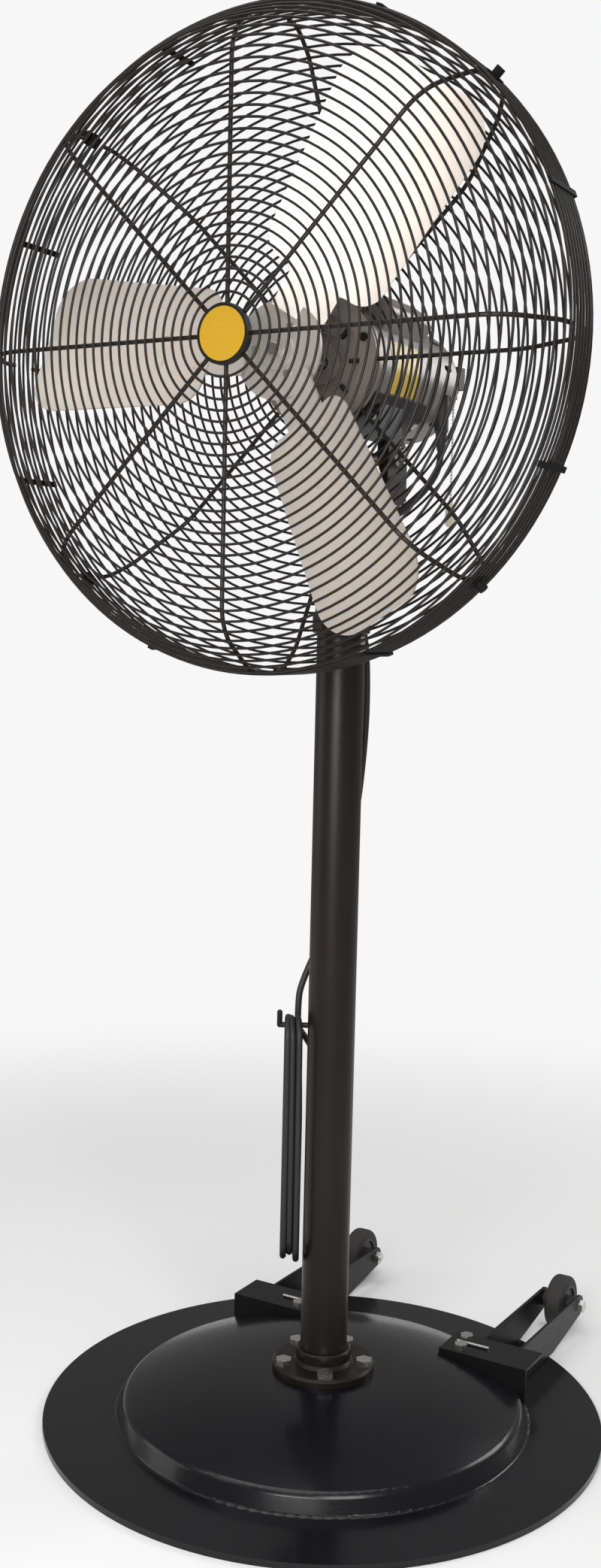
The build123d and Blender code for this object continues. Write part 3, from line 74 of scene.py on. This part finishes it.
def makeGrainGroup(s):
    group = bpy.data.node_groups.new("grainAndPatches", "ShaderNodeTree")
    for name, start in (("Broad Scale", s["broadScale"]), ("Fine Scale", s["fineScale"])):
        socket = group.interface.new_socket(name, in_out="INPUT", socket_type="NodeSocketFloat")
        socket.default_value = start
    group.interface.new_socket("Stretch", in_out="INPUT", socket_type="NodeSocketVector")
    group.interface.new_socket("Patches", in_out="OUTPUT", socket_type="NodeSocketFloat")
    group.interface.new_socket("Grain", in_out="OUTPUT", socket_type="NodeSocketFloat")
    nodes, links = group.nodes, group.links
    inside = nodes.new("NodeGroupInput")
    outside = nodes.new("NodeGroupOutput")
    place = nodes.new("ShaderNodeTexCoord")
    stretch = nodes.new("ShaderNodeVectorMath")
    stretch.operation = "MULTIPLY"
    links.new(place.outputs["Object"], stretch.inputs[0])
    links.new(inside.outputs["Stretch"], stretch.inputs[1])
    broad = nodes.new("ShaderNodeTexNoise")
    broad.inputs["Detail"].default_value = s["broadDetail"]
    links.new(place.outputs["Object"], broad.inputs["Vector"])
    links.new(inside.outputs["Broad Scale"], broad.inputs["Scale"])
    fine = nodes.new("ShaderNodeTexNoise")
    fine.inputs["Detail"].default_value = s["fineDetail"]
    links.new(stretch.outputs["Vector"], fine.inputs["Vector"])
    links.new(inside.outputs["Fine Scale"], fine.inputs["Scale"])
    links.new(broad.outputs["Fac"], outside.inputs["Patches"])
    links.new(fine.outputs["Fac"], outside.inputs["Grain"])
    return group


grainGroup = makeGrainGroup(grainSettings)

# every finish: two colours that the patches blend, the roughness range that the grain moves in, and bump
finishes = {
    "blackEnamel": {"dark": (0.002, 0.002, 0.003), "light": (0.006, 0.006, 0.009), "metal": 0.0,
                    "rough": (0.2, 0.28), "fine": 260, "bump": 0.035, "coat": 0.15,
                    "coatRough": 0.08, "level": 0.3},
    "poleEnamel": {"dark": (0.006, 0.004, 0.003), "light": (0.016, 0.011, 0.008), "metal": 0.0,
                   "rough": (0.3, 0.42), "fine": 420, "bump": 0.06, "level": 0.25},
    "bracketEnamel": {"dark": (0.004, 0.004, 0.004), "light": (0.011, 0.01, 0.01), "metal": 0.0,
                      "rough": (0.3, 0.46), "fine": 380, "bump": 0.1, "level": 0.25},
    "motorEnamel": {"dark": (0.165, 0.142, 0.128), "light": (0.26, 0.23, 0.208), "metal": 0.3,
                    "rough": (0.3, 0.46), "fine": 520, "bump": 0.08, "coat": 0.25, "coatRough": 0.2},
    "guardCoating": {"dark": (0.007, 0.006, 0.005), "light": (0.02, 0.016, 0.013), "metal": 0.0,
                     "rough": (0.28, 0.42), "fine": 300, "bump": 0.05, "level": 0.25},
    "clipCoating": {"dark": (0.004, 0.004, 0.004), "light": (0.012, 0.01, 0.009), "metal": 0.0,
                    "rough": (0.6, 0.75), "fine": 300, "bump": 0.05, "level": 0.1},
    "zincPlate": {"dark": (0.42, 0.42, 0.4), "light": (0.78, 0.77, 0.74), "metal": 1.0,
                  "rough": (0.2, 0.42), "fine": 500, "bump": 0.12},
    "groundSteel": {"dark": (0.4, 0.39, 0.38), "light": (0.62, 0.61, 0.6), "metal": 1.0,
                    "rough": (0.18, 0.36), "fine": 700, "stretch": (1, 0.05, 1), "bump": 0.1},
    "satinAluminium": {"dark": (0.6, 0.53, 0.47), "light": (0.74, 0.67, 0.61), "metal": 0.6,
                       "rough": (0.34, 0.48), "fine": 320, "stretch": (1, 1, 0.08), "bump": 0.05},
    "spiderSteel": {"dark": (0.5, 0.455, 0.415), "light": (0.66, 0.61, 0.565), "metal": 0.5,
                     "rough": (0.34, 0.5), "fine": 420, "bump": 0.08},
    "windingCopper": {"dark": (0.28, 0.09, 0.03), "light": (0.55, 0.22, 0.09), "metal": 1.0,
                      "rough": (0.25, 0.5), "fine": 900, "stretch": (1, 0.1, 1), "bump": 0.4},
    "sinteredBronze": {"dark": (0.32, 0.2, 0.08), "light": (0.52, 0.36, 0.16), "metal": 1.0,
                       "rough": (0.4, 0.6), "fine": 900, "bump": 0.25},
    "badgeBlack": {"dark": (0.004, 0.004, 0.004), "light": (0.01, 0.009, 0.008), "metal": 0.0,
                   "rough": (0.35, 0.5), "fine": 500, "bump": 0.03, "level": 0.25},
    "badgeGold": {"dark": (0.5, 0.27, 0.01), "light": (0.72, 0.44, 0.025), "metal": 0.35,
                  "rough": (0.24, 0.36), "fine": 600, "bump": 0.05, "coat": 0.4, "coatRough": 0.1},
    "labelYellow": {"dark": (0.6, 0.39, 0.02), "light": (0.78, 0.55, 0.05), "metal": 0.0,
                    "rough": (0.3, 0.45), "fine": 500, "bump": 0.04, "coat": 0.25, "coatRough": 0.2},
    "mouldedPlastic": {"dark": (0.012, 0.012, 0.013), "light": (0.03, 0.029, 0.03), "metal": 0.0,
                       "rough": (0.42, 0.6), "fine": 800, "bump": 0.15},
    "ivoryPlastic": {"dark": (0.62, 0.55, 0.4), "light": (0.82, 0.77, 0.62), "metal": 0.0,
                     "rough": (0.28, 0.4), "fine": 300, "bump": 0.03, "coat": 0.3, "coatRough": 0.1},
    "solidRubber": {"dark": (0.01, 0.01, 0.01), "light": (0.035, 0.032, 0.03), "metal": 0.0,
                    "rough": (0.6, 0.85), "fine": 650, "bump": 0.3},
    "cordJacket": {"dark": (0.008, 0.008, 0.009), "light": (0.022, 0.021, 0.021), "metal": 0.0,
                   "rough": (0.42, 0.58), "fine": 600, "bump": 0.12},
}


finishSettings = {
    "broad": 6.0,  # the patches' scale
    "grainRange": (0.3, 0.7),  # where most of the noise lies
    "bumpDepth": 0.0006,
    "coatRough": 0.1,
    "level": 0.5,
}


def makeFinish(name, own):
    s = {**finishSettings, **own}
    material = bpy.data.materials.new(name)
    material.use_nodes = True
    nodes, links = material.node_tree.nodes, material.node_tree.links
    shader = nodes["Principled BSDF"]
    grain = nodes.new("ShaderNodeGroup")
    grain.node_tree = grainGroup
    grain.inputs["Broad Scale"].default_value = s["broad"]
    grain.inputs["Fine Scale"].default_value = s["fine"]
    grain.inputs["Stretch"].default_value = s.get("stretch", (1, 1, 1))
    blend = nodes.new("ShaderNodeMix")
    blend.data_type = "RGBA"
    blend.inputs[6].default_value = (*s["dark"], 1)
    blend.inputs[7].default_value = (*s["light"], 1)
    links.new(grain.outputs["Patches"], blend.inputs["Factor"])
    links.new(blend.outputs[2], shader.inputs["Base Color"])
    rough = nodes.new("ShaderNodeMapRange")
    rough.inputs["From Min"].default_value = s["grainRange"][0]
    rough.inputs["From Max"].default_value = s["grainRange"][1]
    rough.inputs["To Min"].default_value = s["rough"][0]
    rough.inputs["To Max"].default_value = s["rough"][1]
    links.new(grain.outputs["Grain"], rough.inputs["Value"])
    links.new(rough.outputs["Result"], shader.inputs["Roughness"])
    bump = nodes.new("ShaderNodeBump")
    bump.inputs["Strength"].default_value = s["bump"]
    bump.inputs["Distance"].default_value = s["bumpDepth"]
    links.new(grain.outputs["Grain"], bump.inputs["Height"])
    links.new(bump.outputs["Normal"], shader.inputs["Normal"])
    shader.inputs["Metallic"].default_value = s["metal"]
    shader.inputs["Specular IOR Level"].default_value = s["level"]
    shader.inputs["Coat Weight"].default_value = s.get("coat", 0.0)
    shader.inputs["Coat Roughness"].default_value = s["coatRough"]
    return material


materials = {name: makeFinish(name, own) for name, own in finishes.items()}

finishOfNode = {
    "blackEnamel": "base",
    "poleEnamel": "column_flange column column_collar swivel_stem tilt_yoke cord_hook",
    "bracketEnamel": "wheel_bracket_l wheel_bracket_r motor_cradle",
    "motorEnamel": "motor_shell motor_front_bell motor_rear_bell capacitor_cover guard_mount_ring",
    "guardCoating": "rear_guard rear_guard_rim front_guard front_guard_rim",
    "clipCoating": "guard_clips guard_screws",
    "zincPlate": "flange_bolts set_bolts pivot_bolt friction_washers cradle_screws motor_through_bolts"
                 " hub_screws wheel_axles bracket_bolts cord_clip pull_chain",
    "groundSteel": "shaft motor_bearings stator rotor",
    "satinAluminium": "blade_1 blade_2 blade_3 blade_rivets",
    "spiderSteel": "fan_spider fan_hub",
    "windingCopper": "windings",
    "sinteredBronze": "stem_bushings",
    "badgeBlack": "badge_ring",
    "badgeGold": "badge_disc",
    "labelYellow": "motor_label",
    "mouldedPlastic": "pull_switch cord_gland plug capacitor wheel_hub_l wheel_hub_r",
    "ivoryPlastic": "chain_pull",
    "solidRubber": "wheel_tyre_l wheel_tyre_r",
    "cordJacket": "cord_upper cord_lower cord_hank cord_tail",
}
for finish, names in finishOfNode.items():
    for name in names.split():
        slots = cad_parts[name].data.materials
        slots.clear()
        slots.append(materials[finish])
print("finishes on the frame's own pieces")

# power cord: one stretch from the motor to the stem's clip, and one from the clip over the hook to the plug
cordSettings = {
    "radius": 0.0042,
    "hankReach": 0.047,
    "hankTop": 0.527,
    "hankBottom": 0.205,
    "hankHalf": 0.0262,
    "foldSteps": 8,
    "openSteps": 3,
    "sway": 0.001,
    "hankTurn": 30.0,  # degrees from the side towards the front, as the hook points
    "lowStep": 0.35,
    "highStep": 0.7,
    "splineOrder": 3,
    "alongSteps": 8,
    "roundSteps": 5,
    "turns": 3,
    "pitch": 0.0084,
    "lowEnds": (0.0, 0.009, 0.004),
}


def cordCurve(name, points, s):
    curve = bpy.data.curves.new(name, "CURVE")
    curve.dimensions = "3D"
    spline = curve.splines.new("NURBS")
    spline.points.add(len(points) - 1)
    for point, place in zip(spline.points, points):
        point.co = (*place, 1)
    spline.order_u = s["splineOrder"]
    spline.use_endpoint_u = True
    spline.resolution_u = s["alongSteps"]
    route = bpy.data.objects.new(name, curve)
    bpy.context.scene.collection.objects.link(route)
    bpy.context.view_layer.update()
    line = bpy.data.meshes.new_from_object(route)  # the spline's own points, with no bevel yet
    path = [tuple(vertex.co) for vertex in line.vertices]
    bpy.data.meshes.remove(line)
    curve.bevel_depth = s["radius"]
    curve.bevel_resolution = s["roundSteps"]
    curve.use_fill_caps = True
    bpy.ops.object.select_all(action="DESELECT")
    route.select_set(True)
    bpy.context.view_layer.objects.active = route
    bpy.ops.object.convert(target="MESH")
    piece = bpy.context.object
    bpy.ops.object.shade_smooth()
    piece.data.materials.clear()
    piece.data.materials.append(materials["cordJacket"])
    return piece, path


glandPlace = (0.062, 0.14)  # seen from above
clipPlace = (0, 0.0312)
upperWay = (glandPlace[0] - clipPlace[0], glandPlace[1] - clipPlace[1])
upperRun = math.hypot(*upperWay)
upperSteps = ((0, 1.248), (0, 1.232), (0.009, 1.212), (0.030, 1.188), (0.062, 1.164), (0.094, 1.141),
              (0.114, 1.122), (0.123, 1.105), (upperRun, 1.089), (upperRun, 1.076))
upperPoints = [
    (glandPlace[0] - upperWay[0] * along / upperRun, glandPlace[1] - upperWay[1] * along / upperRun, height)
    for along, height in upperSteps
]
lowerPoints = [
    (0, 0.0312, 1.076), (0, 0.0312, 1.064), (0.002, 0.037, 1.049), (0.005, 0.044, 1.030),
    (0.009, 0.0475, 1.004), (0.013, 0.048, 0.960), (0.0135, 0.047, 0.885), (0.004, 0.046, 0.780),
    (-0.017, 0.042, 0.690), (-0.036, 0.027, 0.612), (-0.047, 0.009, 0.570), (-0.0515, 0, 0.541),
]
tailPoints = [
    (-0.063, -0.0017, 0.518), (-0.0645, 0.014, 0.508), (-0.061, 0.029, 0.493), (-0.054, 0.041, 0.474),
    (-0.045, 0.049, 0.451), (-0.036, 0.0535, 0.424), (-0.0305, 0.0545, 0.395),
]


def hankPoints(s):
    hankTurn = math.radians(s["hankTurn"])
    outward = Vector((-math.cos(hankTurn), -math.sin(hankTurn), 0))
    across = Vector((outward.y, -outward.x, 0))
    half = s["hankHalf"]
    topCentre = s["hankTop"] - s["radius"] - half
    stepAngle = math.pi / s["foldSteps"]
    foldReach = half / math.cos(stepAngle / 2)
    fold = [((number + 0.5) * stepAngle) for number in range(s["foldSteps"])]
    points = []
    for turn in range(s["turns"]):
        lowCentre = s["hankBottom"] + s["radius"] + half + s["lowEnds"][turn]
        span = topCentre - lowCentre
        lowStep, highStep = lowCentre + span * s["lowStep"], lowCentre + span * s["highStep"]
        steps = [(half, highStep), (half - s["sway"], lowStep)]
        steps += [(foldReach * math.cos(angle), lowCentre - foldReach * math.sin(angle)) for angle in fold]
        steps += [(s["sway"] - half, lowStep), (-half, highStep)]
        steps += [(-foldReach * math.cos(angle), topCentre + foldReach * math.sin(angle)) for angle in fold]
        for number, (wide, height) in enumerate(steps):
            drift = turn - 1 + (number / len(steps)) ** 3
            place = outward * (s["hankReach"] + min(drift, 1) * s["pitch"]) + across * wide
            points.append((place.x, place.y, height))
    return points[:-s["openSteps"]]


cordUpper, upperPath = cordCurve("cordUpper", upperPoints, cordSettings)
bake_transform(cordUpper)
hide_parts("cord_upper")
wholeLower = lowerPoints + hankPoints(cordSettings) + tailPoints
cordLower, lowerPath = cordCurve("cordLower", wholeLower, cordSettings)
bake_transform(cordLower)
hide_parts("cord_lower", "cord_hank", "cord_tail")
print("cord laid")

# floor and light
stageSettings = {
    "floorColour": (0.86, 0.86, 0.86),
    "floorRough": 0.8,
    "floorSize": 40.0,
    "fadeStart": 0.8,
    "fadeEnd": 2.2,
    "roomColour": (0.98, 0.97, 0.96),
    "roomStrength": 0.28,
    "paperColour": (0.93, 0.93, 0.94),
    "lights": (
        ("keyLight", (2.2, -2.4, 3.2), (0, 0, 1.1), 1.5, 55),
        ("bladeLight", (0.45, -1.65, 1.1), (0.1, 0, 1.5), 0.75, 21),
        ("leftLight", (-1.6, -1.5, 3.3), (0, 0, 1.3), 1.4, 9),
        ("sideLight", (-3.0, -1.4, 1.2), (0, 0, 1.2), 1.8, 14),
        ("rimLight", (1.4, 2.8, 2.4), (0, 0, 1.0), 1.4, 30),
        ("floorLight", (-0.4, -0.6, 4.5), (0, 0, 0), 3.0, 60),
    ),
}


def addStage(s):
    bpy.ops.mesh.primitive_plane_add(size=s["floorSize"], location=(0, 0, 0))
    floor = bpy.context.object
    floor.name = "floor"
    material = bpy.data.materials.new("paleFloor")
    material.use_nodes = True
    shader = material.node_tree.nodes["Principled BSDF"]
    shader.inputs["Base Color"].default_value = (*s["floorColour"], 1)
    shader.inputs["Roughness"].default_value = s["floorRough"]
    nodes, links = material.node_tree.nodes, material.node_tree.links
    place = nodes.new("ShaderNodeTexCoord")
    reach = nodes.new("ShaderNodeVectorMath")
    reach.operation = "LENGTH"
    links.new(place.outputs["Object"], reach.inputs[0])
    far = nodes.new("ShaderNodeMapRange")  # far off, the floor fades into the paper behind the fan
    far.interpolation_type = "SMOOTHSTEP"
    far.inputs["From Min"].default_value = s["fadeStart"]
    far.inputs["From Max"].default_value = s["fadeEnd"]
    links.new(reach.outputs["Value"], far.inputs["Value"])
    seen = nodes.new("ShaderNodeLightPath")
    both = nodes.new("ShaderNodeMath")
    both.operation = "MULTIPLY"
    links.new(far.outputs["Result"], both.inputs[0])
    links.new(seen.outputs["Is Camera Ray"], both.inputs[1])
    paper = nodes.new("ShaderNodeEmission")
    paper.inputs["Color"].default_value = (*s["paperColour"], 1)
    fade = nodes.new("ShaderNodeMixShader")
    links.new(both.outputs["Value"], fade.inputs["Fac"])
    links.new(shader.outputs["BSDF"], fade.inputs[1])
    links.new(paper.outputs["Emission"], fade.inputs[2])
    links.new(fade.outputs["Shader"], nodes["Material Output"].inputs["Surface"])
    floor.data.materials.append(material)
    world = bpy.data.worlds.new("studio")
    world.use_nodes = True
    nodes, links = world.node_tree.nodes, world.node_tree.links
    room = nodes["Background"]
    room.inputs["Color"].default_value = (*s["roomColour"], 1)
    room.inputs["Strength"].default_value = s["roomStrength"]
    paper = nodes.new("ShaderNodeBackground")  # what the camera sees behind the fan
    paper.inputs["Color"].default_value = (*s["paperColour"], 1)
    paper.inputs["Strength"].default_value = 1.0
    seen = nodes.new("ShaderNodeLightPath")
    mix = nodes.new("ShaderNodeMixShader")
    links.new(seen.outputs["Is Camera Ray"], mix.inputs["Fac"])
    links.new(room.outputs["Background"], mix.inputs[1])
    links.new(paper.outputs["Background"], mix.inputs[2])
    links.new(mix.outputs["Shader"], nodes["World Output"].inputs["Surface"])
    bpy.context.scene.world = world
    for name, place, aim, size, power in s["lights"]:
        bpy.ops.object.light_add(type="AREA", location=place)
        light = bpy.context.object
        light.name = name
        light.data.size = size
        light.data.energy = power
        light.visible_camera = False
        light.rotation_euler = (Vector(aim) - Vector(place)).to_track_quat("-Z", "Y").to_euler()


addStage(stageSettings)
bpy.context.scene.view_settings.view_transform = "Standard"
print("stage set")
